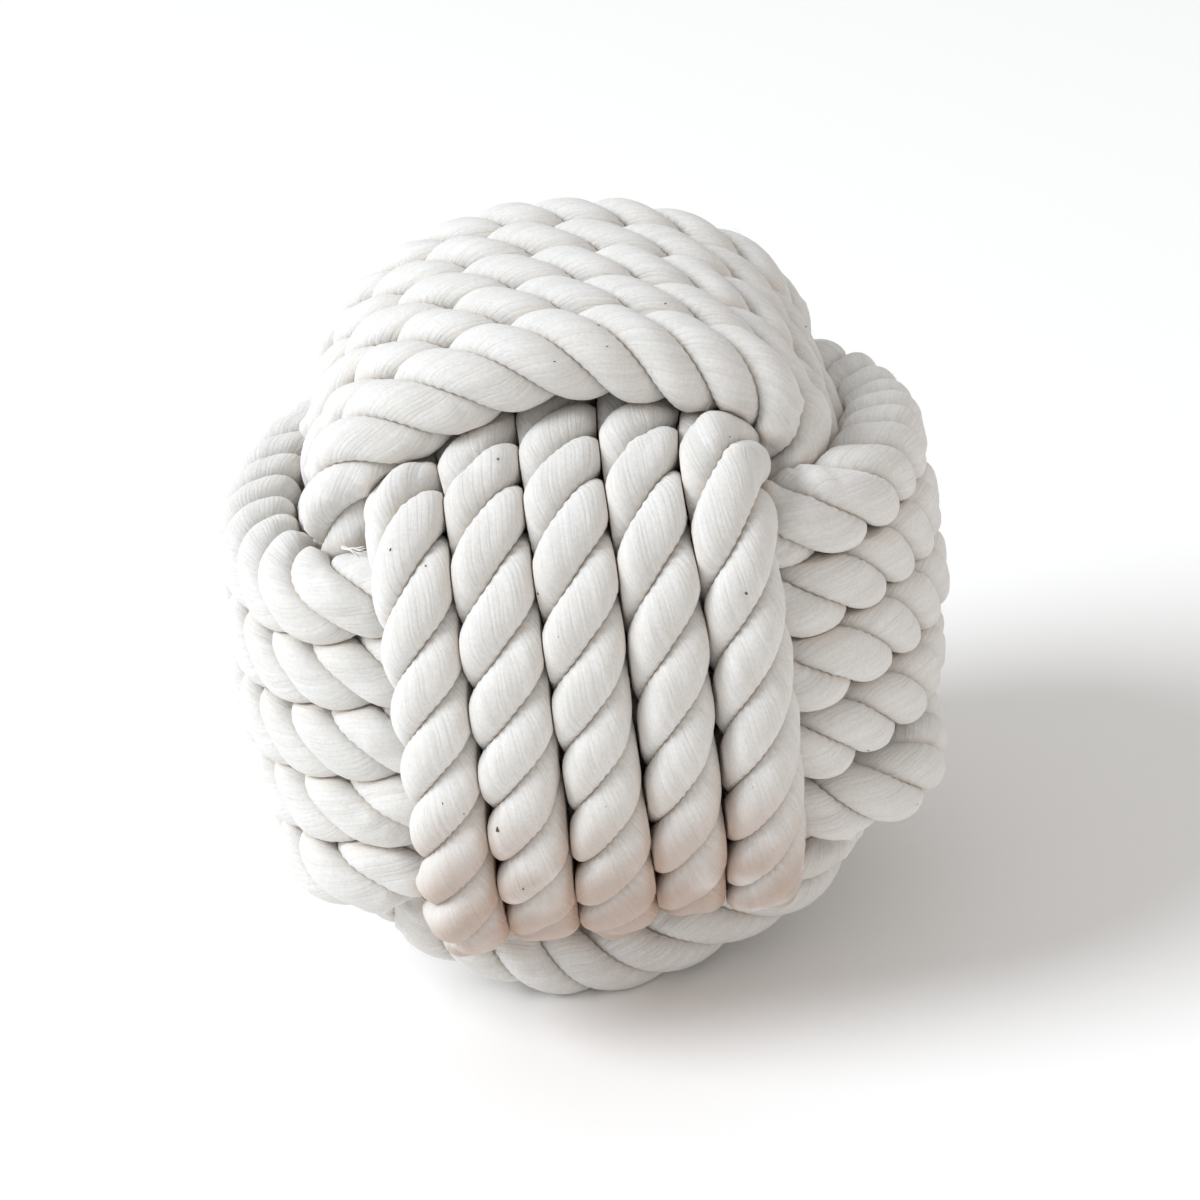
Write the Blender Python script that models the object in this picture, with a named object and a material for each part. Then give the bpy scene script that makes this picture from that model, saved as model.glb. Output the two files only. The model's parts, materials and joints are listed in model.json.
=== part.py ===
"""Monkey's fist: a ball knot tied in thick three-strand cotton rope round a wooden core.

Three sets of five turns lie at right angles to each other.  Each set passes over the one tied
before it on two faces of the ball and under the next one on two others, so no set is outermost
all the way round:

    girdle turns    round the vertical axis, outermost on the left and right faces
    upright turns   round the left-right axis, outermost on the front and back faces
    crown turns     round the front-back axis, outermost on the top and bottom faces

It is one length of rope from end to end.  The route is worked out here as a whole, and each turn
of it is a solid of its own.  Neighbouring solids meet end to end in the covered passes, under the
turns of the next set.

Axes: +Z up, -Y the front face, +X to the right.  The origin is under the middle of the ball, at
the height of the surface it stands on.
"""
import bpy
import bmesh
import math
import numpy as np

# ------------------------------------------------------------------ driving dimensions
ROPE_PITCH = 0.0200         # full thickness of the laid rope
ROPE_DIAMETER = 0.0176      # the rope pressed between its neighbours, with a clearance
CORE_DIAMETER = 0.1030      # wooden ball inside
END_GAP = 0.0003            # between two lengths that meet end to end
BASE_FLAT = 0.0013          # how far the middle bottom rope is pressed flat by what it stands on

TURNS = 5                   # turns in each set
STEP_LENGTH = 0.22          # part of a turn over which the rope steps to the next lane
END_LANE = 0.35             # how far outside its lane the first and last pass of a set begins

# each set's ring is a rounded oval; lengths in rope pitches, measured to the rope's centre
#   lane             distance from one turn to the next
#   outer, inner     half size where the turns lie over, and under, another set
#   outer_crown      fall of the outer passes from the middle lane to the edge lanes
#   inner_crown      the same for the covered passes
#   fullness         2 is an ellipse, larger is squarer
GIRDLE = dict(lane=0.98, outer=4.22, inner=3.15, outer_crown=0.04, inner_crown=0.05, fullness=2.6)
UPRIGHT = dict(lane=0.94, outer=4.22, inner=3.15, outer_crown=0.05, inner_crown=0.11, fullness=3.4)
CROWN = dict(lane=0.98, outer=4.30, inner=3.15, outer_crown=0.002, inner_crown=0.12, fullness=2.8)
# the ball isn't quite regular: where one face differs from the set's own numbers
GIRDLE_RIGHT = dict(outer=4.32, outer_crown=0.06, low_crown=0.11, front_fullness=2.4, back_fullness=2.0)
GIRDLE_LOW_FRONT_CROWN = 0.10   # the lower lanes tuck in more under the front face
GIRDLE_TILT = 4.3               # degrees, right side up
GIRDLE_PITCH = 9.0              # degrees, back down, on the right
GIRDLE_DROP = 0.33              # and the whole of that side lower
GIRDLE_LOW_DROP = 0.036         # and the lowest lanes lower still
UPRIGHT_SHIFT = 0.03            # to the right
CROWN_SHIFT = -0.04             # to the front
CROWN_TOP_LEAN = 0.26           # the top passes lie this far right of the middle
CROWN_LOW_LEAN = -0.15          # and the bottom ones
CROWN_TOP_SLOPE = -0.061        # rise of the top passes for each pitch to the right
CROWN_LOW_SLOPE = 0.06
CROWN_BACK_CROWN = 0.05         # inner_crown of the turns behind the middle, in the top half
CROWN_LEFT_FULLNESS = 2.65
CROWN_LOW = dict(outer=4.32, outer_crown=0.02, left_fullness=1.95, right_fullness=1.85, back=0.09)
CORNER_1 = (-2.15, 2.15, -2.2)  # where the runs between the sets pass a corner of the ball
CORNER_2 = (1.95, -1.6, -1.75)
CLEAR = 0.94                    # least distance of two runs that touch, pressed together

TUBE_CHORD = 0.0004         # how far a tube's straight sections may cut a bend
TUBE_MAX_RUN = 0.030        # longest straight section

COTTON = (0.80, 0.77, 0.71)
WOOD = (0.30, 0.17, 0.09)


# ------------------------------------------------------------------ route of the rope
def ease(t):
    """0 to 1 with level ends"""
    t = min(max(t, 0.0), 1.0)
    return t * t * t * (t * (6 * t - 15) + 10)


def oval(angle, half_u, half_v, fullness):
    """point of a rounded oval"""
    c, s = math.cos(angle), math.sin(angle)
    f = (abs(c) ** fullness + abs(s) ** fullness) ** (-1.0 / fullness)
    return half_u * f * c, half_v * f * s


def winding(first_lane, direction, place, fullness, outer, inner):
    """One set of turns as (x, y, z, turns done).

    It starts in the middle of a covered pass, and steps one lane across in that pass each time
    it comes round.  place() puts (outer direction, inner direction, across) in the world.
    """
    per_turn = 100
    points = []
    for i in range(TURNS * per_turn + 1):
        done = i / per_turn
        angle = math.pi / 2 + 2 * math.pi * done
        k = int(round(done))
        f = done - k
        if k == 0:
            lane = first_lane - direction * END_LANE * (1 - ease(2 * done / STEP_LENGTH))
        elif k == TURNS:
            lane = first_lane + direction * (TURNS - 1 + END_LANE * ease(2 * f / STEP_LENGTH + 1))
        else:
            lane = first_lane + direction * (k - 1 + ease(f / STEP_LENGTH + 0.5))
        c, s = math.cos(angle), math.sin(angle)
        u, v = oval(angle, outer(lane, c), inner(lane, s, c), fullness(lane, c, s))
        x, y, z = place(u, v, lane)
        points.append((x, y, z, done))
    return np.array(points)


def curve_between(p0, d0, p1, d1, n):
    """smooth run from p0 to p1 with the given end directions, ends included"""
    t = np.linspace(0, 1, n)[:, None]
    return ((2 * t ** 3 - 3 * t ** 2 + 1) * p0 + (t ** 3 - 2 * t ** 2 + t) * d0
            + (-2 * t ** 3 + 3 * t ** 2) * p1 + (t ** 3 - t ** 2) * d1)


def crossing(before, after, corner, heading):
    """run from one set to the next through the hollow inside a corner of the ball"""
    a = before[-1, :3] - before[-4, :3]
    b = after[3, :3] - after[0, :3]
    a = a / np.linalg.norm(a)
    b = b / np.linalg.norm(b)
    heading = heading / np.linalg.norm(heading)
    l1 = np.linalg.norm(corner - before[-1, :3])
    l2 = np.linalg.norm(after[0, :3] - corner)
    run = np.vstack([curve_between(before[-1, :3], a * l1, corner, heading * l1, 14)[1:],
                     curve_between(corner, heading * l2, after[0, :3], b * l2, 14)[1:-1]])
    return run


def with_mark(points, start, stop):
    """adds the running mark along the rope as a fourth column"""
    n = len(points)
    marks = start + (stop - start) * (np.arange(n) + 1) / (n + 1)
    return np.column_stack([points, marks])


def rope_route():
    """The whole rope as (x, y, z, mark).  Marks: 0-5 girdle, 6-11 upright, 12-17 crown turns;
    below 0 and above 17 the tucked ends, 5-6 and 11-12 the runs between the sets."""
    tilt, pitch = math.tan(math.radians(GIRDLE_TILT)), math.tan(math.radians(GIRDLE_PITCH))

    def place_girdle(u, v, lane):
        right = min(max(0.5 + u / 6, 0.0), 1.0)
        slant = pitch * (1 - 0.045 * (2 - lane) ** 2 if v > 0 else 1.0)
        drop = GIRDLE_DROP + GIRDLE_LOW_DROP * min(lane, 0.0) ** 2
        return (u, v, lane * GIRDLE['lane'] + u * tilt - right * (v * slant + drop))

    def place_upright(u, v, lane):
        low = ease((v - 0.8) / 2)
        return (lane * UPRIGHT['lane'] + UPRIGHT_SHIFT - low * (0.08 + 0.04 * lane), u, -v)

    def place_crown(u, v, lane):
        x, z = v, -u
        up = z / CROWN['outer']
        lean = CROWN_TOP_LEAN * up if up > 0 else -CROWN_LOW_LEAN * up
        slope = CROWN_TOP_SLOPE * up if up > 0 else -CROWN_LOW_SLOPE * up
        back = CROWN_LOW['back'] * max(x, 0.0) ** 2 * max(-up, 0.0)
        return (x + lean, lane * CROWN['lane'] + CROWN_SHIFT + back, z + slope * x)

    def girdle_outer(lane, c):
        if c > 0:
            crown = GIRDLE_RIGHT['outer_crown' if lane >= 0 else 'low_crown']
            return GIRDLE_RIGHT['outer'] - crown * lane * lane + 0.03 * min(lane, 0)
        return GIRDLE['outer'] - GIRDLE['outer_crown'] * lane * lane

    def girdle_inner(lane, s, c):
        low_front = lane < 0 and s < 0
        crown = GIRDLE_LOW_FRONT_CROWN if low_front else GIRDLE['inner_crown']
        return GIRDLE['inner'] - crown * lane * lane

    def girdle_fullness(lane, c, s):
        if c > 0:
            return GIRDLE_RIGHT['back_fullness'] if s > 0 else GIRDLE_RIGHT['front_fullness']
        return GIRDLE['fullness']

    def upright_fullness(lane, c, s):
        low_front = s > 0 and c < 0
        return 2.8 - 0.2 * max(lane, 0.0) if low_front else UPRIGHT['fullness']

    def crown_outer(lane, c):
        if c > 0:
            return CROWN_LOW['outer'] - (0.0 if lane < 0 else CROWN_LOW['outer_crown']) * lane * lane
        return CROWN['outer'] - CROWN['outer_crown'] * lane * lane + 0.022 * lane

    def crown_inner(lane, s, c):
        return CROWN['inner'] - (CROWN_BACK_CROWN if lane > 0 and c < 0 else CROWN['inner_crown']) * lane * lane

    def crown_fullness(lane, c, s):
        if c > 0:
            return CROWN_LOW['right_fullness'] if s > 0 else CROWN_LOW['left_fullness']
        return CROWN['fullness'] if s > 0 else CROWN_LEFT_FULLNESS + 0.1 * (lane + 2)

    girdle = winding(2, -1, place_girdle, girdle_fullness, girdle_outer, girdle_inner)
    upright = winding(-2, +1, place_upright, upright_fullness,
                      lambda k, c: UPRIGHT['outer'] - UPRIGHT['outer_crown'] * k * k,
                      lambda k, s, c: UPRIGHT['inner'] - UPRIGHT['inner_crown'] * k * k)
    crown = winding(-2, +1, place_crown, crown_fullness, crown_outer, crown_inner)
    girdle, upright, crown = girdle[:-3], upright[3:-3], crown[3:]
    upright[:, 3] += 6
    crown[:, 3] += 12

    over1 = crossing(girdle, upright, np.array(CORNER_1), np.array((-1.0, -1.0, -0.6)))
    over2 = crossing(upright, crown, np.array(CORNER_2), np.array((0.8, -0.6, 0.5)))
    start = curve_between(np.array((1.6, 2.75, 2.35)), np.array((-1.0, 0.1, 0.0)),
                          girdle[0, :3], np.array((-1.5, 0.0, 0.0)), 10)[:-1]
    end = curve_between(crown[-1, :3], np.array((0.0, 0.0, 1.3)),
                        np.array((2.7, 2.4, 1.3)), np.array((-0.2, 0.05, 0.9)), 10)[1:]
    return np.vstack([with_mark(start, -1, 0), girdle, with_mark(over1, girdle[-1, 3], upright[0, 3]),
                      upright, with_mark(over2, upright[-1, 3], crown[0, 3]), crown,
                      with_mark(end, 17, 18)])


def even_spacing(points, step):
    """the same route with points at equal distances along it"""
    seg = np.linalg.norm(np.diff(points[:, :3], axis=0), axis=1)
    s = np.concatenate([[0.0], np.cumsum(seg)])
    n = int(round(s[-1] / step))
    q = np.linspace(0, s[-1], n + 1)
    return np.stack([np.interp(q, s, points[:, k]) for k in range(points.shape[1])], axis=1), s[-1] / n


def lay_side_by_side(route, step, rounds, clear, core_radius):
    """Eases the route until no two runs lie closer than `clear`, none reaches into the core and
    every bend is fair.  rounds: (count, pull towards the drawn route, fairing)."""
    p = route.copy()
    drawn = route.copy()
    n = len(p)
    apart = int(round(2.4 / step))
    for count, pull, fair in rounds:
        for i in range(count):
            if i % 5 == 0:
                d2 = ((p[:, None, :] - p[None, :, :]) ** 2).sum(2)
                a, b = np.where(np.triu(d2 < (clear + 0.35) ** 2, apart))
            d = p[a] - p[b]
            dist = np.linalg.norm(d, axis=1)
            short = np.clip(clear - dist, 0, None)
            away = d / np.maximum(dist, 1e-6)[:, None] * (short * 0.5)[:, None]
            move = np.zeros_like(p)
            hits = np.zeros(n)
            np.add.at(move, a, away)
            np.add.at(move, b, -away)
            near = short > 0
            np.add.at(hits, a[near], 1)
            np.add.at(hits, b[near], 1)
            move /= np.maximum(hits, 1)[:, None]
            move[1:-1] = 0.25 * move[:-2] + 0.5 * move[1:-1] + 0.25 * move[2:]
            p += move * 1.8
            r = np.linalg.norm(p, axis=1)
            low = r < core_radius + 0.5
            p[low] *= ((core_radius + 0.5) / r[low])[:, None]
            for _ in range(2):
                bow = np.zeros_like(p)
                bow[1:-1] = 0.5 * (p[:-2] + p[2:]) - p[1:-1]
                stiff = np.zeros_like(p)
                stiff[2:-2] = -(bow[1:-3] - 2 * bow[2:-2] + bow[3:-1]) * 0.5
                p += 0.01 * bow + fair * stiff
            along = np.zeros_like(p)
            along[1:-1] = p[2:] - p[:-2]
            along /= np.maximum(np.linalg.norm(along, axis=1), 1e-9)[:, None]
            bow = np.zeros_like(p)
            bow[1:-1] = 0.5 * (p[:-2] + p[2:]) - p[1:-1]
            p += 0.5 * along * (bow * along).sum(1)[:, None]
            p += pull * (drawn - p)
    return p


def finished_route():
    """rope centreline in metres, standing on z = 0, with its marks"""
    drawn, step = even_spacing(rope_route(), 0.25)
    laid = lay_side_by_side(drawn[:, :3], step, [(110, 0.02, 0.22), (90, 0.006, 0.15), (60, 0.0, 0.06)],
                            CLEAR, 2.62)
    route, step = even_spacing(np.column_stack([laid, drawn[:, 3]]), 0.25)
    xyz = route[:, :3] * ROPE_PITCH
    low, high = xyz.min(0), xyz.max(0)
    middle = xyz[(np.abs(route[:, 1]) < 0.3) & (route[:, 2] < -3.9)]
    floor = middle[:, 2].min() - ROPE_DIAMETER / 2 + BASE_FLAT
    shift = np.array((-(low[0] + high[0]) / 2, -(low[1] + high[1]) / 2, -floor))
    return xyz + shift, route[:, 3], shift


def thinned(points):
    """fewer points where the rope runs straight, more where it bends: no section's chord lies
    further than TUBE_CHORD inside the arc that it replaces"""
    keep = [0]
    turned, run = 0.0, 0.0
    for i in range(1, len(points) - 1):
        a = points[i] - points[i - 1]
        b = points[i + 1] - points[i]
        la, lb = np.linalg.norm(a), np.linalg.norm(b)
        turned += math.acos(min(1.0, max(-1.0, float(a @ b) / (la * lb))))
        run += la
        if turned * (run + lb) / 8 > TUBE_CHORD or run > TUBE_MAX_RUN:
            keep.append(i)
            turned, run = 0.0, 0.0
    keep.append(len(points) - 1)
    if len(keep) > 2 and keep[-1] - keep[-2] < 2:
        del keep[-2]
    return points[keep]


# ------------------------------------------------------------------ solids
def material(name, colour, roughness):
    m = bpy.data.materials.new(name)
    m.use_nodes = True
    bsdf = m.node_tree.nodes['Principled BSDF']
    bsdf.inputs['Base Color'].default_value = (*colour, 1.0)
    bsdf.inputs['Roughness'].default_value = roughness
    bsdf.inputs['Metallic'].default_value = 0.0
    m.diffuse_color = (*colour, 1.0)
    return m


def rope_length(name, points, colour, parts):
    """one length of rope: a round tube with closed ends along the given points"""
    curve = bpy.data.curves.new(name, 'CURVE')
    curve.dimensions = '3D'
    curve.bevel_depth = ROPE_DIAMETER / 2
    curve.bevel_resolution = 4
    curve.use_fill_caps = True
    spline = curve.splines.new('POLY')
    spline.points.add(len(points) - 1)
    for point, co in zip(spline.points, points):
        point.co = (float(co[0]), float(co[1]), float(co[2]), 1.0)
    spline.use_smooth = True
    obj = bpy.data.objects.new(name, curve)
    curve.materials.append(material(name + '_cotton', colour, 0.92))
    parts.objects.link(obj)
    return obj


def as_mesh(obj, parts):
    """the tube as a mesh with its end discs welded on"""
    bpy.context.view_layer.update()
    evaluated = obj.evaluated_get(bpy.context.evaluated_depsgraph_get())
    mesh = bpy.data.meshes.new_from_object(evaluated)
    name, curve = obj.name, obj.data
    world = obj.matrix_world.copy()
    bpy.data.objects.remove(obj)
    bpy.data.curves.remove(curve)
    mesh.name = name
    solid = bpy.data.objects.new(name, mesh)
    solid.matrix_world = world
    parts.objects.link(solid)
    bm = bmesh.new()
    bm.from_mesh(mesh)
    bmesh.ops.remove_doubles(bm, verts=bm.verts, dist=0.00001)
    bmesh.ops.recalc_face_normals(bm, faces=bm.faces)
    bm.to_mesh(mesh)
    bm.free()
    mesh.shade_smooth()
    return solid


def main():
    for obj in list(bpy.data.objects):
        bpy.data.objects.remove(obj, do_unlink=True)
    scene = bpy.context.scene
    scene.unit_settings.system = 'METRIC'
    parts = bpy.data.collections.new('monkey_fist_knot')
    cutters = bpy.data.collections.new('cutters')
    scene.collection.children.link(parts)
    scene.collection.children.link(cutters)

    frame = bpy.data.objects.new('monkey_fist_frame', None)
    frame.empty_display_size = 0.05
    parts.objects.link(frame)

    points, marks, shift = finished_route()

    # what the ball stands on presses the bottom ropes flat at z = 0
    bpy.ops.mesh.primitive_cube_add(size=1.0, location=(0, 0, -0.01))
    table = bpy.context.object
    table.name = 'resting_surface'
    table.scale = (0.3, 0.3, 0.02)
    bpy.ops.object.transform_apply(location=False, rotation=False, scale=True)
    for c in list(table.users_collection):
        c.objects.unlink(table)
    cutters.objects.link(table)
    table.hide_render = True
    table.display_type = 'WIRE'

    # core
    bpy.ops.mesh.primitive_uv_sphere_add(segments=32, ring_count=16, radius=CORE_DIAMETER / 2,
                                         location=tuple(float(v) for v in shift))
    core = bpy.context.object
    core.name = 'core_ball'
    core.data.name = 'core_ball'
    for c in list(core.users_collection):
        c.objects.unlink(core)
    parts.objects.link(core)
    core.data.shade_smooth()
    core.data.materials.append(material('core_ball_wood', WOOD, 0.6))
    core.parent = frame

    # the rope in tying order: the name of each length and the mark where it ends
    lengths = [('rope_start_tuck', 0.0)]
    lengths += [('girdle_turn_%d' % (i + 1), i + 1.0) for i in range(TURNS - 1)]
    lengths += [('girdle_turn_%d' % TURNS, 4.97), ('girdle_to_upright_run', 6.03)]
    lengths += [('upright_turn_%d' % (i + 1), i + 7.0) for i in range(TURNS - 1)]
    lengths += [('upright_turn_%d' % TURNS, 10.97), ('upright_to_crown_run', 12.03)]
    lengths += [('crown_turn_%d' % (i + 1), i + 13.0) for i in range(TURNS)]
    lengths += [('rope_end_tuck', 18.0)]

    seg = np.linalg.norm(np.diff(points, axis=0), axis=1)
    s = np.concatenate([[0.0], np.cumsum(seg)])

    def at(q):
        return np.array([np.interp(q, s, points[:, k]) for k in range(3)])

    def square_end(q, side):
        """the end of a length, square to the rope, and a point just inside it"""
        middle = at(q)
        along = at(q + 0.004) - at(q - 0.004)
        along = side * along / np.linalg.norm(along)
        return [middle + along * END_GAP / 2, middle + along * 0.003]

    mark = -1.0
    for i, (name, stop) in enumerate(lengths):
        first, last = i == 0, i == len(lengths) - 1
        s0 = s[0] if first else float(np.interp(mark, marks, s))
        s1 = s[-1] if last else float(np.interp(stop, marks, s))
        mark = stop
        inside = [q for q in points[(s > s0 + 0.005) & (s < s1 - 0.005)]]
        head = [points[0]] if first else square_end(s0, +1)
        tail = [points[-1]] if last else square_end(s1, -1)[::-1]
        run = thinned(np.array([head[-1]] + inside + [tail[0]]))
        run = np.array(head[:-1] + [q for q in run] + tail[1:])
        shade = 1.0 - 0.02 * (i % 3)
        obj = rope_length(name, run, tuple(c * shade for c in COTTON), parts)
        if run[:, 2].min() < ROPE_DIAMETER / 2 + 0.0005:
            obj = as_mesh(obj, parts)
            cut = obj.modifiers.new('flat_underside', 'BOOLEAN')
            cut.operation = 'DIFFERENCE'
            cut.object = table
            cut.solver = 'EXACT'
        obj.parent = frame


main()
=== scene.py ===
"""Monkey's fist in thick three-strand cotton rope: the finished surfaces.

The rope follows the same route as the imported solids.  Each length of it is drawn as three laid
strands, and each strand has its twisted yarns, pressed flat where it bears on its neighbours.
"""

import json
import math

import bmesh
import bpy
import numpy as np
from mathutils import Matrix, Vector

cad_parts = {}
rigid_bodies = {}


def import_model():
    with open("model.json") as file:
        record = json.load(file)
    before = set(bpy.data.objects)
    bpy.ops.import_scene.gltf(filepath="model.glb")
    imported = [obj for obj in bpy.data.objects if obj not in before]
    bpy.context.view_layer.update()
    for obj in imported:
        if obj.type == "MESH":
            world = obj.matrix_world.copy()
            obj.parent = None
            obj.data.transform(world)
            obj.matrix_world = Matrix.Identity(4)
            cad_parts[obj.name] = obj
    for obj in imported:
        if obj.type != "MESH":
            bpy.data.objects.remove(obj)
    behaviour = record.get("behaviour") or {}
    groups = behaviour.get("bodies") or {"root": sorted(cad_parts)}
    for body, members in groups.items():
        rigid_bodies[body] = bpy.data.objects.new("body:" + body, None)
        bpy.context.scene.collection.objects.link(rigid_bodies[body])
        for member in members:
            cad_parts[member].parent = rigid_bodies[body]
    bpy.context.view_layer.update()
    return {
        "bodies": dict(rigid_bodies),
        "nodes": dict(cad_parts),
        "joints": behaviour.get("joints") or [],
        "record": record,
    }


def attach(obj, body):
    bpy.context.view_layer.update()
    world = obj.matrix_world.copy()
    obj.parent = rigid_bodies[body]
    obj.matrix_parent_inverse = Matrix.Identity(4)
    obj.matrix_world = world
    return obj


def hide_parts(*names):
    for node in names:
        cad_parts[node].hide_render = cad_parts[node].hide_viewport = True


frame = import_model()

# ------------------------------------------------------------------ dimensions of the knot
ROPE_PITCH = 0.0200         # full thickness of the laid rope
ROPE_DIAMETER = 0.0176
CORE_DIAMETER = 0.1030
BASE_FLAT = 0.0013

TURNS = 5
STEP_LENGTH = 0.22
END_LANE = 0.35

GIRDLE = dict(lane=0.98, outer=4.22, inner=3.15, outer_crown=0.04, inner_crown=0.05, fullness=2.6)
UPRIGHT = dict(lane=0.94, outer=4.22, inner=3.15, outer_crown=0.05, inner_crown=0.11, fullness=3.4)
CROWN = dict(lane=0.98, outer=4.30, inner=3.15, outer_crown=0.002, inner_crown=0.12, fullness=2.8)
# the ball isn't quite regular: where one face differs from the set's own numbers
GIRDLE_RIGHT = dict(outer=4.32, outer_crown=0.06, low_crown=0.11, front_fullness=2.4, back_fullness=2.0)
GIRDLE_LOW_FRONT_CROWN = 0.10   # the lower lanes tuck in more under the front face
GIRDLE_TILT = 4.3               # degrees, right side up
GIRDLE_PITCH = 9.0              # degrees, back down, on the right
GIRDLE_DROP = 0.33              # and the whole of that side lower
GIRDLE_LOW_DROP = 0.036         # and the lowest lanes lower still
UPRIGHT_SHIFT = 0.03            # to the right
CROWN_SHIFT = -0.04             # to the front
CROWN_TOP_LEAN = 0.26           # the top passes lie this far right of the middle
CROWN_LOW_LEAN = -0.15          # and the bottom ones
CROWN_TOP_SLOPE = -0.061        # rise of the top passes for each pitch to the right
CROWN_LOW_SLOPE = 0.06
CROWN_BACK_CROWN = 0.05         # inner_crown of the turns behind the middle, in the top half
CROWN_LEFT_FULLNESS = 2.65
CROWN_LOW = dict(outer=4.32, outer_crown=0.02, left_fullness=1.95, right_fullness=1.85, back=0.09)
CORNER_1 = (-2.15, 2.15, -2.2)  # where the runs between the sets pass a corner of the ball
CORNER_2 = (1.95, -1.6, -1.75)
CLEAR = 0.94                    # least distance of two runs that touch, pressed together

# ------------------------------------------------------------------ how the rope is laid, in pitches
STRANDS = 3
LAY = 2.42                  # usual length of rope in which a strand goes round once, right-handed
STRAND_OFFSET = 0.215       # strand's centre from the rope's centre
STRAND_RADIAL = 0.310       # half section of a strand, outwards
STRAND_TANGENT = 0.345      # and along the rope's circumference
STRAND_GAP = -0.028         # the strands of one rope are pressed into each other
STRAND_ROUND = 8.5          # higher gives sharper edges where strands meet
YARNS = 36                  # yarns round a strand
YARN_COLUMNS = 3            # mesh columns to a yarn
YARN_TURN = -4.7            # radians a pitch, left-handed, in the section that turns with the strand
YARN_RELIEF = 0.0024
SQUARED = 0.150             # how far a rope's edges fill the corners beside its neighbours
RING_STEP = 0.085           # spacing of the mesh rings
ROPE_GAP = 0.003            # between two ropes that touch
# places where two ropes stand a little apart: middle and half size in mm, and the gap in pitches
SLACK = [((10.5, -88, 102), (6, 16, 24), 0.024),
         ((28.5, -85, 90), (6, 16, 26), 0.034),
         ((-10.0, -88, 84), (5, 12, 14), 0.014),
         ((-54.5, -52, 139), (8, 8, 4), 0.080)]
SLACK_LESS = 0.085          # how much less the ropes bulge towards each other there
# bits of husk caught in the yarns: place and length in mm
HUSKS = [((-26.4, -90.7, 79.0), 1.25), ((64.5, 17.0, 155.3), 0.80), ((-34.4, -78.7, 144.1), 0.75),
         ((-8.4, -83.1, 137.2), 0.70), ((-38.6, -90.0, 88.6), 0.60), ((-33.9, -90.1, 84.4), 0.55),
         ((-23.2, -87.9, 60.7), 0.70), ((11.4, -44.2, 185.8), 0.65), ((13.2, -48.4, 182.4), 0.50),
         ((1.2, -49.6, 180.4), 0.55), ((29.2, -28.2, 182.0), 0.60), ((39.1, -59.7, 160.7), 0.55)]
MORE_HUSKS = 16
FIBRES = 2600               # loose fibres standing off the yarns
LONG_FIBRES = 170

# how the strands lie in each outer pass, in tying order: angle of a strand from straight out in
# the middle of the pass in degrees, lay there in pitches, and how the lay draws out along it
PASSES = {
    'left': [(56, 2.10, 0.0), (3, 2.05, 0.0), (80, 2.05, 0.0), (108, 2.30, 0.0), (108, 2.15, 0.0)],
    'right': [(12, 2.05, 0.0), (36, 2.20, 0.0), (6, 2.35, 0.0), (8, 2.15, 0.0), (28, 2.45, 0.0)],
    'front': [(78, 2.40, 0.01), (74, 2.45, 0.01), (77, 2.50, 0.01), (-2, 2.70, 0.01), (64, 2.55, 0.0)],
    'back': [(10, 2.45, 0.0), (50, 2.40, 0.0), (95, 2.50, 0.0), (20, 2.55, 0.0), (75, 2.45, 0.0)],
    'top': [(16, 2.20, 0.0), (17, 2.30, 0.01), (34, 2.30, -0.01), (70, 2.45, 0.01), (1, 2.15, 0.01)],
    'bottom': [(105, 2.50, 0.0), (15, 2.45, 0.0), (85, 2.40, 0.0), (40, 2.50, 0.0), (100, 2.45, 0.0)],
}
PASS_HOLD = 3.3             # half length of a pass over which these hold


# ------------------------------------------------------------------ route of the rope
def ease(t):
    """0 to 1 with level ends"""
    t = min(max(t, 0.0), 1.0)
    return t * t * t * (t * (6 * t - 15) + 10)


def oval(angle, half_u, half_v, fullness):
    """point of a rounded oval"""
    c, s = math.cos(angle), math.sin(angle)
    f = (abs(c) ** fullness + abs(s) ** fullness) ** (-1.0 / fullness)
    return half_u * f * c, half_v * f * s


def winding(first_lane, direction, place, fullness, outer, inner):
    """One set of turns as (x, y, z, turns done).

    It starts in the middle of a covered pass, and steps one lane across in that pass each time
    it comes round.  place() puts (outer direction, inner direction, across) in the world.
    """
    per_turn = 100
    points = []
    for i in range(TURNS * per_turn + 1):
        done = i / per_turn
        angle = math.pi / 2 + 2 * math.pi * done
        k = int(round(done))
        f = done - k
        if k == 0:
            lane = first_lane - direction * END_LANE * (1 - ease(2 * done / STEP_LENGTH))
        elif k == TURNS:
            lane = first_lane + direction * (TURNS - 1 + END_LANE * ease(2 * f / STEP_LENGTH + 1))
        else:
            lane = first_lane + direction * (k - 1 + ease(f / STEP_LENGTH + 0.5))
        c, s = math.cos(angle), math.sin(angle)
        u, v = oval(angle, outer(lane, c), inner(lane, s, c), fullness(lane, c, s))
        x, y, z = place(u, v, lane)
        points.append((x, y, z, done))
    return np.array(points)


def curve_between(p0, d0, p1, d1, n):
    """smooth run from p0 to p1 with the given end directions, ends included"""
    t = np.linspace(0, 1, n)[:, None]
    return ((2 * t ** 3 - 3 * t ** 2 + 1) * p0 + (t ** 3 - 2 * t ** 2 + t) * d0
            + (-2 * t ** 3 + 3 * t ** 2) * p1 + (t ** 3 - t ** 2) * d1)


def crossing(before, after, corner, heading):
    """run from one set to the next through the hollow inside a corner of the ball"""
    a = before[-1, :3] - before[-4, :3]
    b = after[3, :3] - after[0, :3]
    a = a / np.linalg.norm(a)
    b = b / np.linalg.norm(b)
    heading = heading / np.linalg.norm(heading)
    l1 = np.linalg.norm(corner - before[-1, :3])
    l2 = np.linalg.norm(after[0, :3] - corner)
    run = np.vstack([curve_between(before[-1, :3], a * l1, corner, heading * l1, 14)[1:],
                     curve_between(corner, heading * l2, after[0, :3], b * l2, 14)[1:-1]])
    return run


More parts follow.
